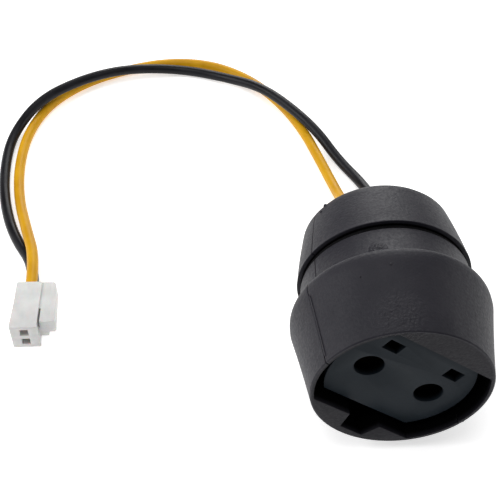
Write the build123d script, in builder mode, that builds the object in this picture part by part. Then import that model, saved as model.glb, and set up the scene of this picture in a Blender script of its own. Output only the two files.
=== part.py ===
from build123d import *
import math
import os

os.makedirs("parts", exist_ok=True)

# A round keyed socket in a split housing, with two leads ending in a small crimp connector.
# The housing lies on its side: its axis runs along Y, its face looks along -Y, and Z is up.
# The origin is under the middle of the housing, on the surface it lies on.

# Housing, outside: distances run along the axis from the rim
housing_length = 27.8
rim_radius = 12.0
skirt_radius = 12.6
skirt_flare = 4.0
crest_radius = 13.85
crest_start = 10.8
crest_end = 11.5
crest_round = 1.5
band_start = 13.5
band_radius = 12.1
band_end_radius = 11.95
groove_start = 17.7
groove_width = 0.9
groove_floor = 10.9
ring_radius = 0.43
back_radius = 12.4
back_middle = 23.0
back_middle_radius = 11.7
back_shoulder = 27.0
back_shoulder_radius = 10.9
back_face_radius = 10.35
rim_bevel = 0.15

# Housing, inside
mouth_radius = 11.45
slot_depth = 7.6
flange_seat = 11.9
flange_thickness = 2.0
insert_seat = 9.4
cavity_radius = 8.8
cavity_taper = 21.5
cavity_end = 25.3
cavity_end_radius = 8.0
grommet_neck = 3.6
grommet_flange = 4.6
grommet_flange_thickness = 1.0

# Parting of the two shells: parallel to the row of contacts, a little below the axis
parting_offset = -1.2
parting_gap = 0.16

# Key of the mouth: a flat across each shell; the lower one has a keyway that narrows towards its floor
flat_offset = 7.95
upper_flat_offset = 8.15
keyway_width = 5.3
keyway_floor_width = 3.8
keyway_centre = 0.6
keyway_floor = 10.8

# Socket insert: the contacts lie in a row that slopes down to the right, seen from the face
row_slope = 37.0
face_recess = 1.6
boss_radius = 10.0
boss_flat = 6.9
boss_edge = 0.35
insert_clearance = 0.1
insert_end = 13.0
retainer_thickness = 1.2
contact_spacing = 10.5
contact_shift = -0.25
contact_bore = 2.0
contact_wall = 0.6
contact_start = 3.6
contact_bore_end = 10.6
tail_radius = 1.1
tail_end = 17.5
cup_radius = 0.6
cup_depth = 3.0
core_radius = 0.5
window_width = 2.5
window_height = 1.85
window_rise = 4.65
window_depth = 4.0
sleeve_wall = 0.25
sleeve_start = 14.8
sleeve_end = 19.6

# Leads
lead_diameter = 1.8
lead_pitch = 4.4
inner_lead_start = 18.0
inner_lead_turn = 20.2
inner_lead_straight = 23.4
run_share = 0.45

# Connector, lying on its narrow side
plug_x = -52.7
plug_width = 3.9
plug_height = 4.6
plug_rear = 15.0
plug_front = 5.9
plug_flare = 0.2
plug_waist = 11.0
plug_edge = 0.25
wing_width = 2.1
wing_flare = 0.5
wing_front = 7.1
wing_step = 0.35
wing_underside = 2.0
wing_web = 1.4
wing_web_underside = 1.1
terminal_pitch = 2.0
terminal_cavity = 1.3
terminal_width = 1.1
terminal_front = 6.9
terminal_rear = 13.0
terminal_pin_radius = 0.3
terminal_pin_depth = 3.0
entry_clearance = 0.05
slit_width = 0.3
slit_depth = 1.6
slit_length = 2.6

# Frames: along the axis from the rim, and across the face
rim_y = -housing_length / 2
slope = math.radians(row_slope)
across = Vector(math.cos(slope), 0, -math.sin(slope))
upward = Vector(math.sin(slope), 0, math.cos(slope))
body_centre = Vector(0, 0, crest_radius)
body_axis = Axis(body_centre, (0, 1, 0))
section = Plane(origin=body_centre + Vector(0, rim_y, 0), x_dir=(0, 1, 0), z_dir=(1, 0, 0))
face = Plane(origin=body_centre + Vector(0, rim_y, 0), x_dir=across, z_dir=(0, -1, 0))
back = Plane(origin=body_centre + Vector(0, rim_y + housing_length, 0), x_dir=(1, 0, 0), z_dir=(0, 1, 0))
parting = Plane(origin=body_centre + upward * parting_offset, x_dir=(0, 1, 0), z_dir=upward)


def depth(distance):
    """The face plane moved into the housing by a distance along the axis."""
    return face.offset(-distance)


def wall_outline():
    """The housing's wall, cut along its axis."""
    groove_end = groove_start + groove_width
    neck_start = housing_length - grommet_flange_thickness
    with BuildSketch(section) as outline:
        with BuildLine():
            Line((0, mouth_radius), (0, rim_radius - rim_bevel))
            Line((0, rim_radius - rim_bevel), (rim_bevel, rim_radius))
            ThreePointArc((rim_bevel, rim_radius), (skirt_flare, skirt_radius), (crest_start, crest_radius))
            Line((crest_start, crest_radius), (crest_end, crest_radius))
            RadiusArc((crest_end, crest_radius), (crest_end + crest_round, crest_radius - crest_round), crest_round)
            Line((crest_end + crest_round, crest_radius - crest_round), (band_start, band_radius))
            Line((band_start, band_radius), (groove_start, band_end_radius))
            Polyline(
                (groove_start, band_end_radius),
                (groove_start, groove_floor),
                (groove_end, groove_floor),
                (groove_end, back_radius),
            )
            ThreePointArc(
                (groove_end, back_radius),
                (back_middle, back_middle_radius),
                (back_shoulder, back_shoulder_radius),
            )
            Polyline(
                (back_shoulder, back_shoulder_radius),
                (housing_length, back_face_radius),
                (housing_length, grommet_flange),
                (neck_start, grommet_flange),
                (neck_start, grommet_neck),
                (cavity_end, grommet_neck),
                (cavity_end, cavity_end_radius),
                (cavity_taper, cavity_radius),
                (insert_end + retainer_thickness, cavity_radius),
                (insert_end + retainer_thickness, insert_seat),
                (slot_depth + flange_thickness, insert_seat),
                (slot_depth + flange_thickness, flange_seat),
                (slot_depth, flange_seat),
                (slot_depth, mouth_radius),
                (0, mouth_radius),
            )
        make_face()
    return outline.sketch


def contact_place(side, rise=0):
    """The middle of a contact, or of the window above it, across the face."""
    return (contact_shift + side * contact_spacing / 2, rise)


contact_places = [contact_place(-1), contact_place(1)]
window_places = [contact_place(-1, window_rise), contact_place(1, window_rise)]


def world(distance, place):
    """A point across the face, at a distance behind the rim, in the part's own frame."""
    return body_centre + Vector(0, rim_y + distance, 0) + across * place[0] + upward * place[1]


# Upper shell: the larger half, above the parting, with the plain flat
with BuildPart() as upper_shell:
    revolve(wall_outline(), axis=body_axis)
    with BuildSketch(face):
        Circle(mouth_radius + rim_bevel)
        with Locations((0, upper_flat_offset - rim_radius)):
            Rectangle(2 * rim_radius, 2 * rim_radius, mode=Mode.SUBTRACT)
    extrude(amount=-slot_depth)
    split(bisect_by=parting.offset(parting_gap / 2), keep=Keep.TOP)
upper_shell.part.label = "upper_shell"
export_step(upper_shell.part, "parts/upper_shell.step")

# Lower shell: the half with the flat and its keyway
with BuildPart() as lower_shell:
    revolve(wall_outline(), axis=body_axis)
    with BuildSketch(face):
        Circle(mouth_radius + rim_bevel)
        with Locations((0, rim_radius - flat_offset)):
            Rectangle(2 * rim_radius, 2 * rim_radius, mode=Mode.SUBTRACT)
        with BuildLine():
            Polyline(
                (keyway_centre - keyway_width / 2, -flat_offset),
                (keyway_centre - keyway_floor_width / 2, -keyway_floor),
                (keyway_centre + keyway_floor_width / 2, -keyway_floor),
                (keyway_centre + keyway_width / 2, -flat_offset),
                close=True,
            )
        make_face(mode=Mode.SUBTRACT)
    extrude(amount=-slot_depth)
    split(bisect_by=parting.offset(-parting_gap / 2), keep=Keep.BOTTOM)
lower_shell.part.label = "lower_shell"
export_step(lower_shell.part, "parts/lower_shell.step")

# Ring in the groove, which holds the shells together
with BuildPart() as clamp_ring:
    with BuildSketch(section):
        with Locations((groove_start + groove_width / 2, groove_floor + ring_radius)):
            Circle(ring_radius)
    revolve(axis=body_axis)
clamp_ring.part.label = "clamp_ring"
export_step(clamp_ring.part, "parts/clamp_ring.step")

# Socket insert: a boss with two flats, a flange held by the shells, and two contact bores
with BuildPart() as socket_insert:
    with BuildSketch(depth(face_recess)):
        Circle(boss_radius)
        Rectangle(2 * boss_radius, 2 * boss_flat, mode=Mode.INTERSECT)
    extrude(amount=-(slot_depth - face_recess))
    fillet(faces().sort_by(Axis.Y)[0].outer_wire().edges(), radius=boss_edge)
    with BuildSketch(depth(slot_depth)):
        Circle(flange_seat - insert_clearance)
    extrude(amount=-flange_thickness)
    with BuildSketch(depth(slot_depth + flange_thickness)):
        Circle(insert_seat - insert_clearance)
    extrude(amount=-(insert_end - slot_depth - flange_thickness))
    with BuildSketch(depth(face_recess)):
        with Locations(*contact_places):
            Circle(contact_bore)
    extrude(amount=-(contact_start - face_recess), mode=Mode.SUBTRACT)
    with BuildSketch(depth(contact_start)):
        with Locations(*contact_places):
            Circle(contact_bore + contact_wall)
    extrude(amount=-(insert_end - contact_start), mode=Mode.SUBTRACT)
    with BuildSketch(depth(face_recess)):
        with Locations(*window_places):
            Rectangle(window_width, window_height)
    extrude(amount=-window_depth, mode=Mode.SUBTRACT)
socket_insert.part.label = "socket_insert"
export_step(socket_insert.part, "parts/socket_insert.step")

# Retainer behind the insert: keeps the contacts from being pushed back
with BuildPart() as contact_retainer:
    with BuildSketch(depth(insert_end)):
        Circle(insert_seat - insert_clearance)
        with Locations(*contact_places):
            Circle(tail_radius + entry_clearance, mode=Mode.SUBTRACT)
    extrude(amount=-retainer_thickness)
contact_retainer.part.label = "contact_retainer"
export_step(contact_retainer.part, "parts/contact_retainer.step")


# Contacts, their solder cups, the bare wire ends in them and the sleeves over the joints
for colour, side in (("yellow", -1), ("black", 1)):
    with BuildPart() as contact:
        with BuildSketch(depth(contact_start)):
            with Locations(contact_place(side)):
                Circle(contact_bore + contact_wall)
        extrude(amount=-(insert_end - contact_start))
        with BuildSketch(depth(insert_end)):
            with Locations(contact_place(side)):
                Circle(tail_radius)
        extrude(amount=-(tail_end - insert_end))
        with BuildSketch(depth(contact_start)):
            with Locations(contact_place(side)):
                Circle(contact_bore)
        extrude(amount=-(contact_bore_end - contact_start), mode=Mode.SUBTRACT)
        with BuildSketch(depth(tail_end)):
            with Locations(contact_place(side)):
                Circle(cup_radius)
        extrude(amount=cup_depth, mode=Mode.SUBTRACT)
    contact.part.label = colour + "_contact"
    export_step(contact.part, "parts/" + colour + "_contact.step")

    with BuildPart() as wire_end:
        with BuildSketch(depth(inner_lead_start)):
            with Locations(contact_place(side)):
                Circle(core_radius)
        extrude(amount=inner_lead_start - tail_end + cup_depth)
    wire_end.part.label = colour + "_wire_end"
    export_step(wire_end.part, "parts/" + colour + "_wire_end.step")

    with BuildPart() as joint_sleeve:
        with BuildSketch(depth(sleeve_start)):
            with Locations(contact_place(side)):
                Circle(tail_radius + sleeve_wall)
                Circle(tail_radius, mode=Mode.SUBTRACT)
        extrude(amount=-(sleeve_end - sleeve_start))
    joint_sleeve.part.label = colour + "_joint_sleeve"
    export_step(joint_sleeve.part, "parts/" + colour + "_joint_sleeve.step")

    # The lead inside the housing, from its contact to the grommet's outer face
    hole_x = side * lead_pitch / 2
    hole = Vector(hole_x, 0, crest_radius)
    inner_route = [
        world(inner_lead_start, contact_place(side)),
        world(inner_lead_turn, contact_place(side)),
        hole + Vector(0, rim_y + inner_lead_straight, 0),
        hole + Vector(0, rim_y + housing_length, 0),
    ]
    with BuildPart() as inner_lead:
        with BuildLine():
            FilletPolyline(*inner_route, radius=lead_diameter)
        with BuildSketch(Plane(origin=inner_route[0], z_dir=(0, 1, 0))):
            Circle(lead_diameter / 2)
        sweep()
    inner_lead.part.label = colour + "_inner_lead"
    export_step(inner_lead.part, "parts/" + colour + "_inner_lead.step")

# Grommet in the back wall, with a hole for each lead
with BuildPart() as lead_grommet:
    with BuildSketch(depth(cavity_end - grommet_flange_thickness)):
        Circle(grommet_flange)
    extrude(amount=-grommet_flange_thickness)
    with BuildSketch(depth(cavity_end)):
        Circle(grommet_neck)
    extrude(amount=-(housing_length - cavity_end))
    with BuildSketch(depth(housing_length)):
        Circle(grommet_flange)
    extrude(amount=grommet_flange_thickness)
    with BuildSketch(back):
        with Locations((-lead_pitch / 2, 0), (lead_pitch / 2, 0)):
            Circle(lead_diameter / 2)
    extrude(amount=-housing_length / 2, mode=Mode.SUBTRACT)
lead_grommet.part.label = "lead_grommet"
export_step(lead_grommet.part, "parts/lead_grommet.step")

# The leads' free stretches: off the grommet, down behind the housing, round in a loop on the
# surface, and into the connector. The black one lies across the yellow one twice.
exit_y = rim_y + housing_length
lead_floor = lead_diameter / 2
yellow_entry_z = plug_height / 2 + terminal_pitch / 2
black_entry_z = plug_height / 2 - terminal_pitch / 2
yellow_route = [
    (-lead_pitch / 2, exit_y, crest_radius),
    (-lead_pitch / 2, 21.0, crest_radius),
    (-2.3, 30.8, 4.1),
    (-3.1, 38.6, lead_floor),
    (-5.2, 46.6, lead_floor),
    (-7.6, 55.0, lead_floor),
    (-11.4, 63.0, lead_floor),
    (-16.8, 70.4, lead_floor),
    (-24.2, 75.4, lead_floor),
    (-32.6, 76.5, lead_floor),
    (-40.8, 74.4, lead_floor),
    (-48.6, 70.6, lead_floor),
    (-55.2, 64.0, lead_floor),
    (-58.3, 55.4, lead_floor),
    (-58.8, 46.4, lead_floor),
    (-57.8, 37.8, lead_floor),
    (-55.4, 29.4, 2.1),
    (plug_x, 20.8, yellow_entry_z),
    (plug_x, terminal_rear, yellow_entry_z),
]
black_route = [
    (lead_pitch / 2, exit_y, crest_radius),
    (lead_pitch / 2, 21.0, crest_radius),
    (2.9, 30.9, 4.1),
    (2.2, 38.8, lead_floor),
    (-1.8, 46.0, lead_floor),
    (-5.0, 52.4, 2.2),
    (-9.4, 58.2, 3.2),
    (-14.6, 64.6, 3.2),
    (-20.6, 70.0, 1.4),
    (-28.4, 73.6, lead_floor),
    (-35.8, 73.4, 1.8),
    (-42.6, 71.0, 3.2),
    (-49.6, 68.0, 3.2),
    (-56.6, 62.4, 3.1),
    (-61.0, 54.6, 1.2),
    (-61.3, 45.6, lead_floor),
    (-60.1, 36.8, lead_floor),
    (-57.5, 28.6, lead_floor),
    (plug_x, 20.6, black_entry_z),
    (plug_x, terminal_rear, black_entry_z),
]


def corner_radii(name, route):
    """The largest bend that the two runs at each corner leave room for."""
    points = [Vector(*point) for point in route]
    radii = []
    for before, corner, after in zip(points, points[1:], points[2:]):
        arriving = corner - before
        leaving = after - corner
        half_turn = math.radians(arriving.get_angle(leaving)) / 2
        radii.append(run_share * min(arriving.length, leaving.length) / math.tan(half_turn))
    print(name, "bend radii", [round(radius, 1) for radius in radii])
    return radii


for name, route in (("yellow_lead", yellow_route), ("black_lead", black_route)):
    with BuildPart() as lead:
        with BuildLine():
            path = FilletPolyline(*route, radius=corner_radii(name, route))
        with BuildSketch(Plane(origin=path @ 0, z_dir=path % 0)):
            Circle(lead_diameter / 2)
        sweep()
    tube_volume = math.pi * (lead_diameter / 2) ** 2 * path.length
    print(name, "length", round(path.length, 1), "volume ratio", round(lead.part.volume / tube_volume, 4))
    lead.part.label = name
    export_step(lead.part, "parts/" + name + ".step")

# Connector housing: the main body with its two terminal cavities, and a shorter wing beside it
plug_middle = Plane(origin=(plug_x, plug_rear, plug_height / 2), x_dir=(1, 0, 0), z_dir=(0, -1, 0))
plug_top = Plane.XY.offset(plug_height)
body_left = plug_x - plug_width / 2
body_right = plug_x + plug_width / 2
with BuildPart() as plug_housing:
    with BuildSketch(Plane.XY):
        with BuildLine():
            Polyline(
                (body_left, plug_rear),
                (body_left, plug_waist),
                (body_left - plug_flare, plug_front),
                (body_right + plug_flare, plug_front),
                (body_right, wing_front),
                (body_right, plug_rear),
                close=True,
            )
        make_face()
    extrude(amount=plug_height)
    with BuildSketch(Plane.XY.offset(wing_underside)):
        with BuildLine():
            Polyline(
                (body_right, plug_rear),
                (body_right, wing_front),
                (body_right + wing_width + wing_flare, wing_front),
                (body_right + wing_width, plug_rear),
                close=True,
            )
        make_face()
    extrude(amount=plug_height - wing_step - wing_underside)
    with BuildSketch(Plane.XY.offset(wing_web_underside)):
        with Locations((body_right, wing_front)):
            Rectangle(wing_web, plug_rear - wing_front, align=(Align.MIN, Align.MIN))
    extrude(amount=wing_underside - wing_web_underside)
    fillet(edges().filter_by(Axis.Y).group_by(Axis.Z)[-1], radius=plug_edge)
    with BuildSketch(plug_middle.offset(plug_rear - terminal_rear)):
        with Locations((0, -terminal_pitch / 2), (0, terminal_pitch / 2)):
            Rectangle(terminal_cavity, terminal_cavity)
    extrude(amount=terminal_rear - plug_front, mode=Mode.SUBTRACT)
    with BuildSketch(plug_middle):
        with Locations((0, -terminal_pitch / 2), (0, terminal_pitch / 2)):
            Circle(lead_diameter / 2 + entry_clearance)
    extrude(amount=plug_rear - terminal_rear, mode=Mode.SUBTRACT)
    with BuildSketch(plug_top):
        with Locations((body_right, wing_front)):
            Rectangle(slit_width, slit_length, align=(Align.MIN, Align.MIN))
    extrude(amount=-slit_depth, mode=Mode.SUBTRACT)
plug_housing.part.label = "plug_housing"
export_step(plug_housing.part, "parts/plug_housing.step")

# Crimp terminals in the connector
for colour, level in (("yellow", terminal_pitch / 2), ("black", -terminal_pitch / 2)):
    with BuildPart() as terminal:
        with BuildSketch(plug_middle.offset(plug_rear - terminal_rear)):
            with Locations((0, level)):
                Rectangle(terminal_width, terminal_width)
        extrude(amount=terminal_rear - terminal_front)
        with BuildSketch(plug_middle.offset(plug_rear - terminal_front)):
            with Locations((0, level)):
                Circle(terminal_pin_radius)
        extrude(amount=-terminal_pin_depth, mode=Mode.SUBTRACT)
    terminal.part.label = colour + "_terminal"
    export_step(terminal.part, "parts/" + colour + "_terminal.step")
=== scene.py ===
import bmesh
import bpy
import math
from mathutils import Matrix, Vector


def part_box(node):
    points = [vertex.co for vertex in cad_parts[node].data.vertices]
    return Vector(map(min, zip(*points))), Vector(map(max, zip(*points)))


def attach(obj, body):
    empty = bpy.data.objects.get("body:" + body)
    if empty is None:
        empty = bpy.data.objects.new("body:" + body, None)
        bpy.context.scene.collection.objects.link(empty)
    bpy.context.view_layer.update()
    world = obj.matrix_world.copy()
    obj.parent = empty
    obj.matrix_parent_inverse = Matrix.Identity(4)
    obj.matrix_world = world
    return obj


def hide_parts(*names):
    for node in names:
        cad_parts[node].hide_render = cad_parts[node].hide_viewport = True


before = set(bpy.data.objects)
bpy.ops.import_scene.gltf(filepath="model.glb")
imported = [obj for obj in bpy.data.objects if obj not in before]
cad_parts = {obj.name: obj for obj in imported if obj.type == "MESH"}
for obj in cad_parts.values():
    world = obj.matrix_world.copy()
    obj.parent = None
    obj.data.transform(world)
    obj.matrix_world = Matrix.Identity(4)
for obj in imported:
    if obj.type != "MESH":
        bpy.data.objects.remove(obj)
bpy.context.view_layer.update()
mm = 0.001
hairline = 1e-7

# where the housing is: its axis runs along Y, its face looks along -Y
ringLow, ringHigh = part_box("clamp_ring")
axisHeight = (ringLow.z + ringHigh.z) / 2
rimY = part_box("upper_shell")[0].y
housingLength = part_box("upper_shell")[1].y - rimY
rowSlope = math.radians(37)
across = Vector((math.cos(rowSlope), 0, -math.sin(rowSlope)))  # along the row of contacts
upward = Vector((math.sin(rowSlope), 0, math.cos(rowSlope)))  # from the keyway to the far side
facing = Vector((0, -1, 0))  # out of the face
rimCentre = Vector((0, rimY, axisHeight))
faceFrame = Matrix.Translation(rimCentre) @ Matrix((across, upward, facing)).transposed().to_4x4()


# camera and lights
view = {
    "eye": (-22.3, -89.15, 119.7),
    "elevation": 46.35,
    "azimuth": 2.0,
    "lens": 72,
    "sensor": 36,
    "nearest": 1,
}

cameraData = bpy.data.cameras.new("camera")
cameraData.lens = view["lens"]
cameraData.sensor_width = view["sensor"]
cameraData.clip_start = view["nearest"] * mm
camera = bpy.data.objects.new("camera", cameraData)
camera.location = Vector(view["eye"]) * mm
camera.rotation_euler = (math.radians(90 - view["elevation"]), 0, math.radians(-view["azimuth"]))
bpy.context.scene.collection.objects.link(camera)
bpy.context.scene.camera = camera

lampAim = (-15, 15, 8)
worldLight = 0.17
lamps = {
    "rear": {"at": (20, 330, 165), "size": 240, "power": 0.68},
    "left": {"at": (-300, 20, 190), "size": 200, "power": 0.62},
    "top": {"at": (-60, -40, 380), "size": 240, "power": 0.52},
    "right": {"at": (300, 60, 140), "size": 160, "power": 0.22},
}


def addLamp(name, facts):
    data = bpy.data.lights.new(name, "AREA")
    data.shape = "DISK"
    data.size = facts["size"] * mm
    data.energy = facts["power"]
    lamp = bpy.data.objects.new(name, data)
    lamp.location = Vector(facts["at"]) * mm
    aim = Vector(lampAim) * mm - lamp.location
    lamp.rotation_euler = aim.to_track_quat("-Z", "Y").to_euler()
    bpy.context.scene.collection.objects.link(lamp)


for lampName, lampFacts in lamps.items():
    addLamp(lampName, lampFacts)

world = bpy.data.worlds.new("studio")
world.use_nodes = True
world.node_tree.nodes["Background"].inputs["Color"].default_value = (1.0, 1.0, 1.0, 1)
world.node_tree.nodes["Background"].inputs["Strength"].default_value = worldLight
bpy.context.scene.world = world
bpy.context.scene.view_settings.view_transform = "Standard"
print("camera and lights are set")


# outside of the housing: distances behind the rim and radii in mm, which the materials use too
shell = {
    "segments": 160,
    "rim": 12.0,
    "rimRound": 0.15,
    "backEdge": (0.2, 0.12),
    "mouth": 11.45,
    "flare": (4.0, 12.6),
    "crest": 13.85,
    "crestStart": 10.8,
    "crestEnd": 11.5,
    "crestRound": 1.5,
    "bandStart": (13.5, 12.1),
    "bandEnd": 11.95,
    "grooveStart": 17.7,
    "grooveEnd": 18.6,
    "grooveFloor": 10.9,
    "back": 12.4,
    "backMiddle": (23.0, 11.7),
    "backShoulder": (27.0, 10.9),
    "backFace": 10.35,
    "lip": 0.12,
    "parting": -1.2,
    "gap": 0.16,
    "seamRound": 0.13,
}


# materials
def newMaterial(name, **fixed):
    material = bpy.data.materials.new(name)
    material.use_nodes = True
    shader = material.node_tree.nodes["Principled BSDF"]
    for socket, value in fixed.items():
        shader.inputs[socket.replace("_", " ")].default_value = value
    return material, material.node_tree, shader


def noise(tree, scale, detail=4.0, roughness=0.55, stretch=(1, 1, 1)):
    coordinates = tree.nodes.new("ShaderNodeTexCoord")
    mapping = tree.nodes.new("ShaderNodeMapping")
    mapping.inputs["Scale"].default_value = stretch
    texture = tree.nodes.new("ShaderNodeTexNoise")
    texture.inputs["Scale"].default_value = scale
    texture.inputs["Detail"].default_value = detail
    texture.inputs["Roughness"].default_value = roughness
    tree.links.new(coordinates.outputs["Object"], mapping.inputs["Vector"])
    tree.links.new(mapping.outputs["Vector"], texture.inputs["Vector"])
    return texture.outputs["Fac"]


def ramp(tree, factor, low, high, start=0.35, end=0.65):
    node = tree.nodes.new("ShaderNodeValToRGB")
    node.color_ramp.elements[0].position = start
    node.color_ramp.elements[0].color = (*low, 1)
    node.color_ramp.elements[1].position = end
    node.color_ramp.elements[1].color = (*high, 1)
    tree.links.new(factor, node.inputs["Fac"])
    return node.outputs["Color"]


def spread(tree, factor, low, high, start=0.3, end=0.7):
    node = tree.nodes.new("ShaderNodeMapRange")
    node.inputs["From Min"].default_value = start
    node.inputs["From Max"].default_value = end
    node.inputs["To Min"].default_value = low
    node.inputs["To Max"].default_value = high
    tree.links.new(factor, node.inputs["Value"])
    return node.outputs["Result"]


def bump(tree, shader, layers):
    # each layer is (height, distance in mm, strength)
    normal = None
    for height, distance, strength in layers:
        node = tree.nodes.new("ShaderNodeBump")
        node.inputs["Distance"].default_value = distance * mm
        node.inputs["Strength"].default_value = strength
        tree.links.new(height, node.inputs["Height"])
        if normal:
            tree.links.new(normal, node.inputs["Normal"])
        normal = node.outputs["Normal"]
    tree.links.new(normal, shader.inputs["Normal"])


def combine(tree, operation, first, second):
    node = tree.nodes.new("ShaderNodeMath")
    node.operation = operation
    tree.links.new(first, node.inputs[0])
    tree.links.new(second, node.inputs[1])
    return node.outputs["Value"]


def depthShade(tree, start, end, reach, stop=13.8):
    # painted shade mask: 1 between two distances behind the rim and within reach of the axis, 0 elsewhere
    coordinates = tree.nodes.new("ShaderNodeTexCoord")
    split = tree.nodes.new("ShaderNodeSeparateXYZ")
    tree.links.new(coordinates.outputs["Object"], split.inputs["Vector"])
    depth = spread(tree, split.outputs["Y"], 0, 1, rimY + start * mm, rimY + end * mm)
    fromAxis = tree.nodes.new("ShaderNodeMapping")
    fromAxis.inputs["Location"].default_value = (0, 0, -axisHeight)
    fromAxis.inputs["Scale"].default_value = (1, 0, 1)
    length = tree.nodes.new("ShaderNodeVectorMath")
    length.operation = "LENGTH"
    tree.links.new(coordinates.outputs["Object"], fromAxis.inputs["Vector"])
    tree.links.new(fromAxis.outputs["Vector"], length.inputs[0])
    near = spread(tree, length.outputs["Value"], 1, 0, reach * mm, (reach + 0.2) * mm)
    before = spread(tree, split.outputs["Y"], 1, 0, rimY + (stop - 0.1) * mm, rimY + stop * mm)
    return combine(tree, "MULTIPLY", combine(tree, "MULTIPLY", depth, near), before)


# near-black colour and low shine painted into recesses as shade
recessShadeBlack = {"colour": (0.0008, 0.0008, 0.0009, 1), "shine": 0.02}


def shaded(tree, shader, colour, level, shade):
    # paints shade: darkens the colour and the shine towards near black where the shade mask is 1
    mix = tree.nodes.new("ShaderNodeMix")
    mix.data_type = "RGBA"
    tree.links.new(shade, mix.inputs["Factor"])
    tree.links.new(colour, mix.inputs["A"])
    mix.inputs["B"].default_value = recessShadeBlack["colour"]
    tree.links.new(mix.outputs["Result"], shader.inputs["Base Color"])
    tree.links.new(spread(tree, shade, level, recessShadeBlack["shine"], 0, 1), shader.inputs["Specular IOR Level"])


# marks of use on the housing: (distance behind the rim, across, upward, reach) in mm
marks = {
    "blemish": (13.9, -9.1, 7.9, 1.3),
    "upperSpeck": (9.7, -9.4, 9.85, 0.2),
    "leftSpeck": (8.8, -11.75, 6.5, 0.2),
    "worn": (2.2, -8.6, 8.8, 4.5),
}


def spot(tree, mark):
    # 1 at the mark, falling to 0 at its reach
    distance, side, height, reach = mark
    centre = rimCentre + (across * side + upward * height - facing * distance) * mm
    coordinates = tree.nodes.new("ShaderNodeTexCoord")
    apart = tree.nodes.new("ShaderNodeVectorMath")
    apart.operation = "DISTANCE"
    apart.inputs[1].default_value = centre
    tree.links.new(coordinates.outputs["Object"], apart.inputs[0])
    return spread(tree, apart.outputs["Value"], 1, 0, 0.4 * reach * mm, reach * mm)


def shellMaterial():
    material, tree, shader = newMaterial("satinBlackShell")
    cloud = noise(tree, 130, 3)
    grain = noise(tree, 2600, 2, 0.6)
    streak = noise(tree, 900, 3, 0.6, (1, 0.16, 1))
    colour = ramp(tree, cloud, (0.0105, 0.0100, 0.0155), (0.0170, 0.0160, 0.0220))
    # painted shade: the mouth darkens towards near black from just in front of the rim inwards, and the
    # groove walls darken too
    mouth = depthShade(tree, -0.5, 0.9, 11.6)
    groove = depthShade(
        tree, shell["grooveStart"] - 0.1, shell["grooveStart"], 11.75, shell["grooveEnd"] + 0.1,
    )
    shaded(tree, shader, colour, 0.24, combine(tree, "MAXIMUM", mouth, groove))
    tree.links.new(spread(tree, grain, 0.46, 0.62), shader.inputs["Roughness"])
    pits = noise(tree, 3600, 1, 0.4)
    blemish = combine(tree, "MULTIPLY", spot(tree, marks["blemish"]), pits)
    worn = combine(tree, "MULTIPLY", spot(tree, marks["worn"]), grain)
    layers = [(cloud, 0.3, 0.3), (streak, 0.06, 0.5), (grain, 0.06, 0.7), (worn, 0.2, 1), (blemish, 0.5, 1)]
    layers += [(spot(tree, marks[speck]), 0.15, 1) for speck in ("upperSpeck", "leftSpeck")]
    bump(tree, shader, layers)
    return material


def ringMaterial():
    material, tree, shader = newMaterial("ringRubber", Specular_IOR_Level=0.05)
    grain = noise(tree, 1800, 3)
    colour = ramp(tree, grain, (0.0015, 0.0015, 0.0017), (0.004, 0.004, 0.0045))
    tree.links.new(colour, shader.inputs["Base Color"])
    tree.links.new(spread(tree, grain, 0.55, 0.72), shader.inputs["Roughness"])
    bump(tree, shader, [(grain, 0.02, 0.5)])
    return material


def insertMaterial():
    material, tree, shader = newMaterial("blueBlackInsert")
    cloud = noise(tree, 160, 4)
    grain = noise(tree, 3200, 2, 0.6)
    colour = ramp(tree, cloud, (0.0085, 0.0130, 0.0180), (0.0140, 0.0190, 0.0245))
    # painted shade: the insert darkens towards near black deeper in the mouth slot
    shaded(tree, shader, colour, 0.08, depthShade(tree, 1.75, 2.5, 12))
    tree.links.new(spread(tree, cloud, 0.40, 0.52), shader.inputs["Roughness"])
    bump(tree, shader, [(cloud, 0.12, 0.2), (grain, 0.012, 0.35)])
    return material


def leadMaterial(name, low, high, roughness):
    material, tree, shader = newMaterial(name, Specular_IOR_Level=0.16)
    cloud = noise(tree, 240, 3)
    pull = noise(tree, 1400, 2, 0.5)
    tree.links.new(ramp(tree, cloud, low, high), shader.inputs["Base Color"])
    tree.links.new(spread(tree, cloud, roughness - 0.04, roughness + 0.08), shader.inputs["Roughness"])
    bump(tree, shader, [(cloud, 0.08, 0.25), (pull, 0.012, 0.3)])
    return material


def plugMaterial():
    material, tree, shader = newMaterial(
        "naturalNylon", Specular_IOR_Level=0.45, Subsurface_Weight=0.25, Subsurface_Scale=0.6 * mm
    )
    cloud = noise(tree, 420, 3)
    grain = noise(tree, 4200, 2)
    tree.links.new(ramp(tree, cloud, (0.60, 0.60, 0.59), (0.68, 0.68, 0.67)), shader.inputs["Base Color"])
    tree.links.new(spread(tree, cloud, 0.36, 0.5), shader.inputs["Roughness"])
    ribs = noise(tree, 2600, 2, 0.5, (1, 0.04, 0.3))
    layers = noise(tree, 2400, 2, 0.5, (0.05, 0.1, 1))
    bump(tree, shader, [(cloud, 0.05, 0.4), (ribs, 0.16, 0.6), (layers, 0.2, 0.8), (grain, 0.01, 0.3)])
    return material


def metalMaterial(name, low, high, roughness):
    material, tree, shader = newMaterial(name, Metallic=1.0)
    turned = noise(tree, 900, 3, 0.6, (1, 6, 1))
    tree.links.new(ramp(tree, turned, low, high), shader.inputs["Base Color"])
    tree.links.new(spread(tree, turned, roughness - 0.06, roughness + 0.1), shader.inputs["Roughness"])
    bump(tree, shader, [(turned, 0.01, 0.4)])
    return material


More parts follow.
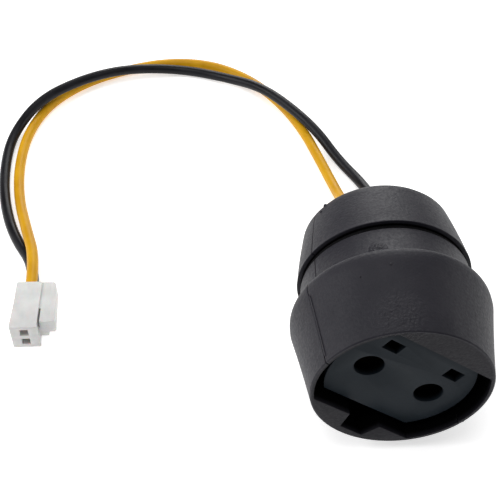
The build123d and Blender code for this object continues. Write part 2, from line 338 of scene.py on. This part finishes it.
def sleeveMaterial():
    material, tree, shader = newMaterial("shrunkTube", Specular_IOR_Level=0.5)
    wrinkle = noise(tree, 700, 3, 0.6, (1, 0.3, 1))
    colour = ramp(tree, wrinkle, (0.008, 0.008, 0.009), (0.014, 0.014, 0.015))
    tree.links.new(colour, shader.inputs["Base Color"])
    tree.links.new(spread(tree, wrinkle, 0.3, 0.45), shader.inputs["Roughness"])
    bump(tree, shader, [(wrinkle, 0.03, 0.5)])
    return material


def floorMaterial():
    material, tree, shader = newMaterial(
        "paleFloor", Roughness=0.75, Specular_IOR_Level=0.1,
        Emission_Color=(1, 1, 1, 1), Emission_Strength=0.55,
    )
    cloud = noise(tree, 6, 2)
    tree.links.new(ramp(tree, cloud, (0.88, 0.88, 0.88), (0.9, 0.9, 0.9)), shader.inputs["Base Color"])
    return material


finish = {
    "housing": shellMaterial(),
    "ring": ringMaterial(),
    "insert": insertMaterial(),
    "grommet": ringMaterial(),
    "yellow_lead": leadMaterial("yellowInsulation", (0.56, 0.275, 0.004), (0.66, 0.345, 0.008), 0.42),
    "black_lead": leadMaterial("blackInsulation", (0.007, 0.007, 0.009), (0.012, 0.012, 0.015), 0.36),
    "plug": plugMaterial(),
    "contact": metalMaterial("dulledBrass", (0.030, 0.022, 0.011), (0.055, 0.040, 0.020), 0.5),
    "terminal": metalMaterial("tinPlate", (0.52, 0.51, 0.49), (0.66, 0.65, 0.62), 0.35),
    "wire": metalMaterial("tinnedStrands", (0.55, 0.52, 0.47), (0.68, 0.65, 0.60), 0.35),
    "joint_sleeve": sleeveMaterial(),
}
finish["grommet"].name = "grommetRubber"
print("materials are made")


# building helpers
def newMesh(name, build):
    shape = bmesh.new()
    build(shape)
    mesh = bpy.data.meshes.new(name)
    shape.to_mesh(mesh)
    shape.free()
    piece = bpy.data.objects.new(name, mesh)
    bpy.context.scene.collection.objects.link(piece)
    return piece


def boolean(piece, other, operation):
    change = piece.modifiers.new(operation.lower(), "BOOLEAN")
    change.operation = operation
    change.object = other
    change.solver = "EXACT"
    bake(piece)
    bpy.data.objects.remove(other)


def bake(piece):
    evaluated = piece.evaluated_get(bpy.context.evaluated_depsgraph_get())
    mesh = bpy.data.meshes.new_from_object(evaluated)
    piece.modifiers.clear()
    piece.data = mesh


def soften(piece, width, segments=3, angle=35):
    edge = piece.modifiers.new("edges", "BEVEL")
    edge.width = width * mm
    edge.segments = segments
    edge.limit_method = "ANGLE"
    edge.angle_limit = math.radians(angle)
    bake(piece)


def dress(piece, slot, nodes, smoothAngle=38):
    piece.data.materials.clear()
    piece.data.materials.append(finish[slot])
    if piece.type == "MESH":
        piece.data.shade_smooth()
        piece.data.set_sharp_from_angle(angle=math.radians(smoothAngle))
    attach(piece, "root")
    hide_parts(*nodes)


def arcThrough(start, middle, end, steps):
    # points on the circle through three points, both ends included
    a, b, c = (Vector(point) for point in (start, middle, end))
    aa, bb, cc = a.length_squared, b.length_squared, c.length_squared
    d = 2 * (a.x * (b.y - c.y) + b.x * (c.y - a.y) + c.x * (a.y - b.y))
    centre = Vector((
        (aa * (b.y - c.y) + bb * (c.y - a.y) + cc * (a.y - b.y)) / d,
        (aa * (c.x - b.x) + bb * (a.x - c.x) + cc * (b.x - a.x)) / d,
    ))
    first = a - centre
    turn = first.angle_signed(c - centre)
    return [centre + Matrix.Rotation(-turn * step / steps, 2) @ first for step in range(steps + 1)]


def pulledOutline(shape, corners, along):
    # a flat outline made a face and drawn out along a direction
    face = shape.faces.new([shape.verts.new(corner) for corner in corners])
    pulled = bmesh.ops.extrude_face_region(shape, geom=[face])["geom"]
    moved = [part for part in pulled if isinstance(part, bmesh.types.BMVert)]
    bmesh.ops.translate(shape, vec=along, verts=moved)


def cutEdges(cut):
    return [part for part in cut["geom_cut"] if isinstance(part, bmesh.types.BMEdge)]


def everyPart(shape):
    return list(shape.verts) + list(shape.edges) + list(shape.faces)


def turnedProfile(shape, points, steps):
    # points are (distance behind the rim, radius) in mm; they are closed and spun about the axis
    corners = [shape.verts.new((radius * mm, 0, -distance * mm)) for distance, radius in points]
    edges = [shape.edges.new((a, b)) for a, b in zip(corners, corners[1:] + corners[:1])]
    bmesh.ops.spin(
        shape, geom=corners + edges, cent=(0, 0, 0), axis=(0, 0, 1),
        angle=2 * math.pi, steps=steps, use_merge=True,
    )
    bmesh.ops.remove_doubles(shape, verts=shape.verts, dist=0.0005 * mm)
    bmesh.ops.recalc_face_normals(shape, faces=shape.faces)


def addBox(shape, low, high):
    made = bmesh.ops.create_cube(shape, size=1)["verts"]
    size = [(b - a) * mm for a, b in zip(low, high)]
    centre = [(a + b) / 2 * mm for a, b in zip(low, high)]
    bmesh.ops.scale(shape, vec=size, verts=made)
    bmesh.ops.translate(shape, vec=centre, verts=made)


def addRod(shape, at, radius, near, far, segments=64):
    # a rod square to the face, between two distances behind the rim
    made = bmesh.ops.create_cone(
        shape, cap_ends=True, segments=segments,
        radius1=radius * mm, radius2=radius * mm, depth=(far - near) * mm,
    )["verts"]
    bmesh.ops.translate(shape, vec=(at[0] * mm, at[1] * mm, -(near + far) / 2 * mm), verts=made)


def joinRod(piece, operation, *facts):
    boolean(piece, newMesh("rod", lambda shape: addRod(shape, *facts)), operation)


def joinBox(piece, operation, low, high):
    boolean(piece, newMesh("box", lambda shape: addBox(shape, low, high)), operation)


def place(piece):
    piece.data.transform(faceFrame)
    return piece


# leads, along the routes of the CAD tubes
leadFacts = {"diameter": 1.8, "pitch": 4.4, "roundness": 10, "smoothness": 24}
exitY = rimY / mm + housingLength / mm
plugLow, plugHigh = (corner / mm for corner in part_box("plug_housing"))
terminalLow, terminalHigh = (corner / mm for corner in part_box("yellow_terminal"))
plugX = (terminalLow.x + terminalHigh.x) / 2
terminalRear = terminalHigh.y
yellowEntry = (terminalLow.z + terminalHigh.z) / 2
blackEntry = sum(corner.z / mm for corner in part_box("black_terminal")) / 2
leadFloor = leadFacts["diameter"] / 2
centreZ = axisHeight / mm

leadRoutes = {
    "yellow_lead": [
        (-leadFacts["pitch"] / 2, exitY, centreZ), (-leadFacts["pitch"] / 2, 21.0, centreZ),
        (-2.3, 30.8, 4.1), (-3.1, 38.6, leadFloor), (-5.2, 46.6, leadFloor), (-7.6, 55.0, leadFloor),
        (-11.4, 63.0, leadFloor), (-16.8, 70.4, leadFloor), (-24.2, 75.4, leadFloor),
        (-32.6, 76.5, leadFloor), (-40.8, 74.4, leadFloor), (-48.6, 70.6, leadFloor),
        (-55.2, 64.0, leadFloor), (-58.3, 55.4, leadFloor), (-58.8, 46.4, leadFloor),
        (-57.8, 37.8, leadFloor), (-55.4, 29.4, 2.1), (plugX, 20.8, yellowEntry),
        (plugX, terminalRear, yellowEntry),
    ],
    "black_lead": [
        (leadFacts["pitch"] / 2, exitY, centreZ), (leadFacts["pitch"] / 2, 21.0, centreZ),
        (2.9, 30.9, 4.1), (2.2, 38.8, leadFloor), (-1.8, 46.0, leadFloor), (-5.0, 52.4, 2.2),
        (-9.4, 58.2, 3.2), (-14.6, 64.6, 3.2), (-20.6, 70.0, 1.4), (-28.4, 73.6, leadFloor),
        (-35.8, 73.4, 1.8), (-42.6, 71.0, 3.2), (-49.6, 68.0, 3.2), (-56.6, 62.4, 3.1),
        (-61.0, 54.6, 1.2), (-61.3, 45.6, leadFloor), (-60.1, 36.8, leadFloor),
        (-57.5, 28.6, leadFloor), (plugX, 20.6, blackEntry), (plugX, terminalRear, blackEntry),
    ],
}


def makeLead(name, route):
    data = bpy.data.curves.new(name, "CURVE")
    data.dimensions = "3D"
    data.bevel_depth = leadFacts["diameter"] / 2 * mm
    data.bevel_resolution = leadFacts["roundness"]
    data.resolution_u = leadFacts["smoothness"]
    data.use_fill_caps = True
    spline = data.splines.new("NURBS")
    spline.points.add(len(route) - 1)
    for point, at in zip(spline.points, route):
        point.co = (*(value * mm for value in at), 1)
    spline.order_u = 3
    spline.use_endpoint_u = True
    piece = bpy.data.objects.new(name + "_visual", data)
    bpy.context.scene.collection.objects.link(piece)
    return piece


leads = {}
for leadName, leadRoute in leadRoutes.items():
    leads[leadName] = makeLead(leadName, leadRoute)
    dress(leads[leadName], leadName, [leadName])
print("leads are laid")


# housing: two half shells, turned whole and then parted
cavity = {
    "slotDepth": 7.6, "flangeEnd": 9.6, "flangeSeat": 11.9, "insertSeat": 9.4, "insertEnd": 14.2,
    "radius": 8.8, "taper": 21.5, "end": 25.3, "endRadius": 8.0,
    "neck": 3.6, "neckEnd": 26.8, "grommet": 4.6,
}
mouthKey = {
    "flat": 7.95, "upperFlat": 8.15, "width": 5.3, "floorWidth": 3.8, "centre": 0.6, "floor": 10.8,
    "wallOverlap": 0.2, "edge": 0.14,
}


def skirtArc():
    s = shell
    return arcThrough((s["rimRound"], s["rim"]), s["flare"], (s["crestStart"], s["crest"]), 14)


def shellProfile():
    s, c, lip = shell, cavity, shell["lip"]
    length = housingLength / mm
    points = [(0, s["mouth"]), (0, s["rim"] - s["rimRound"])]
    points += skirtArc()
    turn = s["crestEnd"] + s["crestRound"]
    drop = s["crest"] - s["crestRound"]
    diagonal = math.sqrt(0.5) * s["crestRound"]
    points += arcThrough(
        (s["crestEnd"], s["crest"]), (s["crestEnd"] + diagonal, drop + diagonal), (turn, drop), 8
    )
    points += [s["bandStart"]]
    points += arcThrough(
        (s["grooveStart"] - lip, s["bandEnd"]),
        (s["grooveStart"] - 0.3 * lip, s["bandEnd"] - 0.3 * lip),
        (s["grooveStart"], s["bandEnd"] - lip), 4,
    )
    points += [(s["grooveStart"], s["grooveFloor"]), (s["grooveEnd"], s["grooveFloor"])]
    points += arcThrough(
        (s["grooveEnd"], s["back"] - lip),
        (s["grooveEnd"] + 0.3 * lip, s["back"] - 0.3 * lip),
        (s["grooveEnd"] + lip, s["back"] - 0.02), 4,
    )
    points += arcThrough((s["grooveEnd"] + 2 * lip, s["back"] - 0.05), s["backMiddle"], s["backShoulder"], 12)
    bevel, rise = s["backEdge"]
    points += [(length - bevel, s["backFace"] + rise), (length, s["backFace"] - rise)]
    points += [
        (length, c["grommet"]), (c["neckEnd"], c["grommet"]),
        (c["neckEnd"], c["neck"]), (c["end"], c["neck"]),
        (c["end"], c["endRadius"]), (c["taper"], c["radius"]), (c["insertEnd"], c["radius"]),
        (c["insertEnd"], c["insertSeat"]), (c["flangeEnd"], c["insertSeat"]),
        (c["flangeEnd"], c["flangeSeat"]), (c["slotDepth"], c["flangeSeat"]), (c["slotDepth"], s["mouth"]),
    ]
    return points


mouthDepth = Vector((0, 0, -(cavity["slotDepth"] + mouthKey["wallOverlap"]) * mm))


def keyedFlat(shape):
    # the part of the lower shell that closes the mouth below its flat, with the keyway in it
    k = mouthKey
    reach = shell["mouth"] + k["wallOverlap"]
    half = math.sqrt(reach ** 2 - k["flat"] ** 2)
    side, floorSide = k["width"] / 2, k["floorWidth"] / 2
    outline = [(-half, -k["flat"]), (k["centre"] - side, -k["flat"]), (k["centre"] - floorSide, -k["floor"])]
    outline += [(k["centre"] + floorSide, -k["floor"]), (k["centre"] + side, -k["flat"]), (half, -k["flat"])]
    outline += arcThrough((half, -k["flat"]), (0, -reach), (-half, -k["flat"]), 24)[1:-1]
    pulledOutline(shape, [(x * mm, y * mm, 0) for x, y in outline], mouthDepth)
    keyEdges = [
        edge for edge in shape.edges
        if all(abs(vert.co.y + k["floor"] * mm) < 0.01 * mm for vert in edge.verts)
        or all(vert.co.z == 0 and vert.co.y >= -k["floor"] * mm - 1e-6 for vert in edge.verts)
    ]
    bmesh.ops.recalc_face_normals(shape, faces=shape.faces)
    bmesh.ops.bevel(
        shape, geom=keyEdges, offset=k["edge"] * mm, segments=3, profile=0.5, affect="EDGES",
        material=-1, clamp_overlap=True,
    )


def plainFlat(shape):
    # the part of the upper shell that closes the mouth above its flat
    k = mouthKey
    reach = shell["mouth"] + k["wallOverlap"]
    half = math.sqrt(reach ** 2 - k["upperFlat"] ** 2)
    outline = arcThrough((half, k["upperFlat"]), (0, reach), (-half, k["upperFlat"]), 24)
    pulledOutline(shape, [(x * mm, y * mm, 0) for x, y in outline], mouthDepth)
    bmesh.ops.recalc_face_normals(shape, faces=shape.faces)


# moulding flash: a bead along the seam of the skirt, and nubs at (across, upward, behind the rim, radius)
flash = {
    "proud": 0.13, "thickness": 0.22, "start": 0.3, "end": 10.4, "root": 0.6,
    "nubs": [
        (11.85, -0.75, 0.45, 0.4), (12.0, -1.0, 1.5, 0.25),
        (-10.75, 1.0, 27.0, 0.32), (-11.0, 0.3, 26.2, 0.25),
    ],
}


def seamBead(shape):
    f = flash
    level = shell["parting"] - shell["gap"]
    outline = []
    for point in skirtArc():
        if f["start"] < point.x < f["end"]:
            outline.append((point.x, math.sqrt((point.y + f["proud"]) ** 2 - level ** 2)))
    outline += [(distance, radius - f["root"]) for distance, radius in reversed(outline)]
    corners = [(-radius * mm, level * mm, -distance * mm) for distance, radius in outline]
    pulledOutline(shape, corners, (0, (f["thickness"] + shell["gap"] * 1.5) * mm, 0))
    bmesh.ops.recalc_face_normals(shape, faces=shape.faces)


def addNub(shape, nub):
    made = bmesh.ops.create_icosphere(shape, subdivisions=2, radius=nub[3] * mm)["verts"]
    bmesh.ops.translate(shape, vec=(nub[0] * mm, nub[1] * mm, -nub[2] * mm), verts=made)


def parted(piece, keepUpper):
    # cuts the turned wall at the parting plane, closes the cut and rounds its edges
    shape = bmesh.new()
    shape.from_mesh(piece.data)
    side = 1 if keepUpper else -1
    level = (shell["parting"] + side * shell["gap"] / 2) * mm
    cut = bmesh.ops.bisect_plane(
        shape, geom=everyPart(shape), dist=hairline, plane_co=(0, level, 0), plane_no=(0, 1, 0),
        clear_inner=keepUpper, clear_outer=not keepUpper,
    )
    caps = bmesh.ops.edgenet_fill(shape, edges=cutEdges(cut))["faces"]
    seam = list({edge for cap in caps for edge in cap.edges})
    bmesh.ops.recalc_face_normals(shape, faces=shape.faces)
    bmesh.ops.bevel(
        shape, geom=seam, offset=shell["seamRound"] * mm, segments=2, profile=0.5, affect="EDGES",
        material=-1, clamp_overlap=True,
    )
    shape.to_mesh(piece.data)
    shape.free()


def makeShell(name, keepUpper):
    piece = newMesh(name + "_visual", lambda shape: turnedProfile(shape, shellProfile(), shell["segments"]))
    boolean(piece, newMesh("flat", plainFlat if keepUpper else keyedFlat), "UNION")
    if keepUpper:
        boolean(piece, newMesh("bead", seamBead), "UNION")
        for nub in flash["nubs"]:
            boolean(piece, newMesh("nub", lambda shape: addNub(shape, nub)), "UNION")
    parted(piece, keepUpper)
    dress(place(piece), "housing", [name], 32)


makeShell("upper_shell", True)
makeShell("lower_shell", False)
print("shells are parted")


# ring in the groove
ring = {"radius": 0.43, "segments": 160, "sides": 20}


def ringShape(shape):
    middle = (shell["grooveStart"] + shell["grooveEnd"]) / 2
    centre = shell["grooveFloor"] + ring["radius"]
    points = []
    for side in range(ring["sides"]):
        angle = 2 * math.pi * side / ring["sides"]
        points.append((middle + ring["radius"] * math.cos(angle), centre + ring["radius"] * math.sin(angle)))
    turnedProfile(shape, points, ring["segments"])


dress(place(newMesh("clamp_ring_visual", ringShape)), "ring", ["clamp_ring"])


# socket insert
insert = {
    "recess": 1.6, "radius": 10.0, "flat": 6.9, "flange": 11.8, "rear": 9.3, "rearEnd": 13.0,
    "contactSpacing": 10.5, "contactShift": -0.25, "bore": 2.0, "sleeve": 2.6, "sleeveStart": 3.6,
    "windowRise": 4.65, "windowWidth": 2.5, "windowHeight": 1.85, "windowDepth": 4.0,
    "segments": 160, "edge": 0.2,
}


def insertBody(shape):
    i = insert
    addRod(shape, (0, 0), i["radius"], i["recess"], cavity["slotDepth"] + 0.2, i["segments"])
    for side in (-1, 1):
        cut = bmesh.ops.bisect_plane(
            shape, geom=everyPart(shape), dist=hairline, plane_co=(0, side * i["flat"] * mm, 0),
            plane_no=(0, -side, 0), clear_inner=True,
        )
        bmesh.ops.edgenet_fill(shape, edges=cutEdges(cut))
    bmesh.ops.recalc_face_normals(shape, faces=shape.faces)


def makeInsert():
    i = insert
    piece = newMesh("socket_insert_visual", insertBody)
    middle, rings = (0, 0), i["segments"]
    joinRod(piece, "UNION", middle, i["flange"], cavity["slotDepth"], cavity["flangeEnd"], rings)
    joinRod(piece, "UNION", middle, i["rear"], cavity["flangeEnd"] - 0.2, i["rearEnd"], rings)
    for side in (-1, 1):
        x = i["contactShift"] + side * i["contactSpacing"] / 2
        joinRod(piece, "DIFFERENCE", (x, 0), i["bore"], 0, i["sleeveStart"] + 0.5)
        joinRod(piece, "DIFFERENCE", (x, 0), i["sleeve"], i["sleeveStart"], i["rearEnd"] + 1)
        halfWidth, halfHeight = i["windowWidth"] / 2, i["windowHeight"] / 2
        low = (x - halfWidth, i["windowRise"] - halfHeight, -i["recess"] - i["windowDepth"])
        high = (x + halfWidth, i["windowRise"] + halfHeight, 1)
        joinBox(piece, "DIFFERENCE", low, high)
    soften(piece, i["edge"])
    return place(piece)


dress(makeInsert(), "insert", ["socket_insert"], 30)
print("insert is made")


# grommet in the back wall
grommet = {
    "flangeEnd": 24.3, "holeRadius": 0.9, "collar": 1.5, "collarHeight": 0.5,
    "round": 0.2, "edge": 0.12, "segments": 96, "holeSegments": 40,
}


def grommetProfile():
    c, length = cavity, housingLength / mm
    return [
        (length, 0), (length, c["grommet"] - grommet["round"]), (length - grommet["round"], c["grommet"]),
        (c["neckEnd"], c["grommet"]), (c["neckEnd"], c["neck"]), (c["end"], c["neck"]),
        (c["end"], c["grommet"]), (grommet["flangeEnd"], c["grommet"]), (grommet["flangeEnd"], 0),
    ]


def makeGrommet():
    g, length = grommet, housingLength / mm
    piece = newMesh("lead_grommet_visual", lambda s: turnedProfile(s, grommetProfile(), g["segments"]))
    for side in (-1, 1):
        # the leads lie side by side along X, which is turned from the face's own directions
        exitPoint = Vector((side * leadFacts["pitch"] / 2, 0, 0))
        local = (exitPoint.dot(across), exitPoint.dot(upward))
        collarEnd, sides = length + g["collarHeight"], g["holeSegments"]
        joinRod(piece, "UNION", local, g["collar"], length - 1, collarEnd, sides)
        joinRod(piece, "DIFFERENCE", local, g["holeRadius"], 20, length + 2, sides)
    soften(piece, g["edge"])
    return place(piece)


dress(makeGrommet(), "grommet", ["lead_grommet"], 30)
print("grommet is made")


# connector
plug = {
    "bodyWidth": 3.9, "waist": 11.0, "flare": 0.2,
    "wingWidth": 2.1, "wingFlare": 0.5, "wingFront": 7.1, "wingDrop": 0.2, "wingUnderside": 2.0,
    "web": 1.4, "webUnderside": 1.1,
    "cavity": 1.3, "pitch": 2.0, "entry": 0.95, "entryDepth": 3,
    "slitWidth": 0.3, "slitDepth": 1.6, "slitLength": 2.6,
    "root": 0.3, "corner": 0.5, "edge": 0.14,
}


def prism(corners, low, high, rounding):
    # an outline in plan, raised between two levels, with its upright edges rounded
    def build(shape):
        pulledOutline(shape, [(x * mm, y * mm, low * mm) for x, y in corners], (0, 0, (high - low) * mm))
        upright = [edge for edge in shape.edges if abs(edge.verts[0].co.z - edge.verts[1].co.z) > mm]
        bmesh.ops.bevel(
            shape, geom=upright, offset=rounding * mm, segments=4, profile=0.5, affect="EDGES",
            material=-1, clamp_overlap=True,
        )
        bmesh.ops.recalc_face_normals(shape, faces=shape.faces)
    return build


def leadEntry(shape):
    p = plug
    bmesh.ops.create_cone(
        shape, cap_ends=True, segments=40, radius1=p["entry"] * mm, radius2=p["entry"] * mm,
        depth=p["entryDepth"] * 2 * mm,
    )


def makePlug():
    p = plug
    right = plugX + p["bodyWidth"] / 2
    left = plugX - p["bodyWidth"] / 2
    rear, front = plugHigh.y, plugLow.y
    body = [
        (left, rear), (left, p["waist"]), (left - p["flare"], front),
        (right + p["flare"], front), (right, p["wingFront"]), (right, rear),
    ]
    piece = newMesh("plug_housing_visual", prism(body, 0, plugHigh.z, p["corner"] / 2))
    root, wingRear = right - p["root"], right + p["wingWidth"]
    wing = [
        (root, rear), (root, p["wingFront"]),
        (wingRear + p["wingFlare"], p["wingFront"]), (wingRear, rear),
    ]
    wingShape = prism(wing, p["wingUnderside"], plugHigh.z - p["wingDrop"], p["corner"])
    boolean(piece, newMesh("wing", wingShape), "UNION")
    webHigh = (right + p["web"], rear, p["wingUnderside"] + 0.2)
    joinBox(piece, "UNION", (root, p["wingFront"], p["webUnderside"]), webHigh)
    half = p["cavity"] / 2
    for level in (plugHigh.z / 2 - p["pitch"] / 2, plugHigh.z / 2 + p["pitch"] / 2):
        high = (plugX + half, terminalRear, level + half)
        joinBox(piece, "DIFFERENCE", (plugX - half, front - 1, level - half), high)
        rod = newMesh("entry", leadEntry)
        turned = Matrix.Rotation(math.pi / 2, 4, "X")
        rod.data.transform(Matrix.Translation(Vector((plugX, rear, level)) * mm) @ turned)
        boolean(piece, rod, "DIFFERENCE")
    soften(piece, p["edge"], 3, 40)
    slitLow = (right, p["wingFront"] - 1, plugHigh.z - p["slitDepth"])
    slitHigh = (right + p["slitWidth"], p["wingFront"] + p["slitLength"], plugHigh.z + 1)
    joinBox(piece, "DIFFERENCE", slitLow, slitHigh)
    return piece


dress(makePlug(), "plug", ["plug_housing"], 30)
print("connector is made")


# the CAD pieces that stay as they are
kept = {
    "yellow_contact": "contact", "black_contact": "contact", "contact_retainer": "insert",
    "yellow_wire_end": "wire", "black_wire_end": "wire",
    "yellow_joint_sleeve": "joint_sleeve", "black_joint_sleeve": "joint_sleeve",
    "yellow_inner_lead": "yellow_lead", "black_inner_lead": "black_lead",
    "yellow_terminal": "terminal", "black_terminal": "terminal",
}
for nodeName, slotName in kept.items():
    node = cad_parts[nodeName]
    node.data.materials.clear()
    node.data.materials.append(finish[slotName])


# floor
floorSize = 3
floor = newMesh("floor", lambda shape: bmesh.ops.create_grid(
    shape, x_segments=2, y_segments=2, size=floorSize,
))
floor.data.materials.append(floorMaterial())
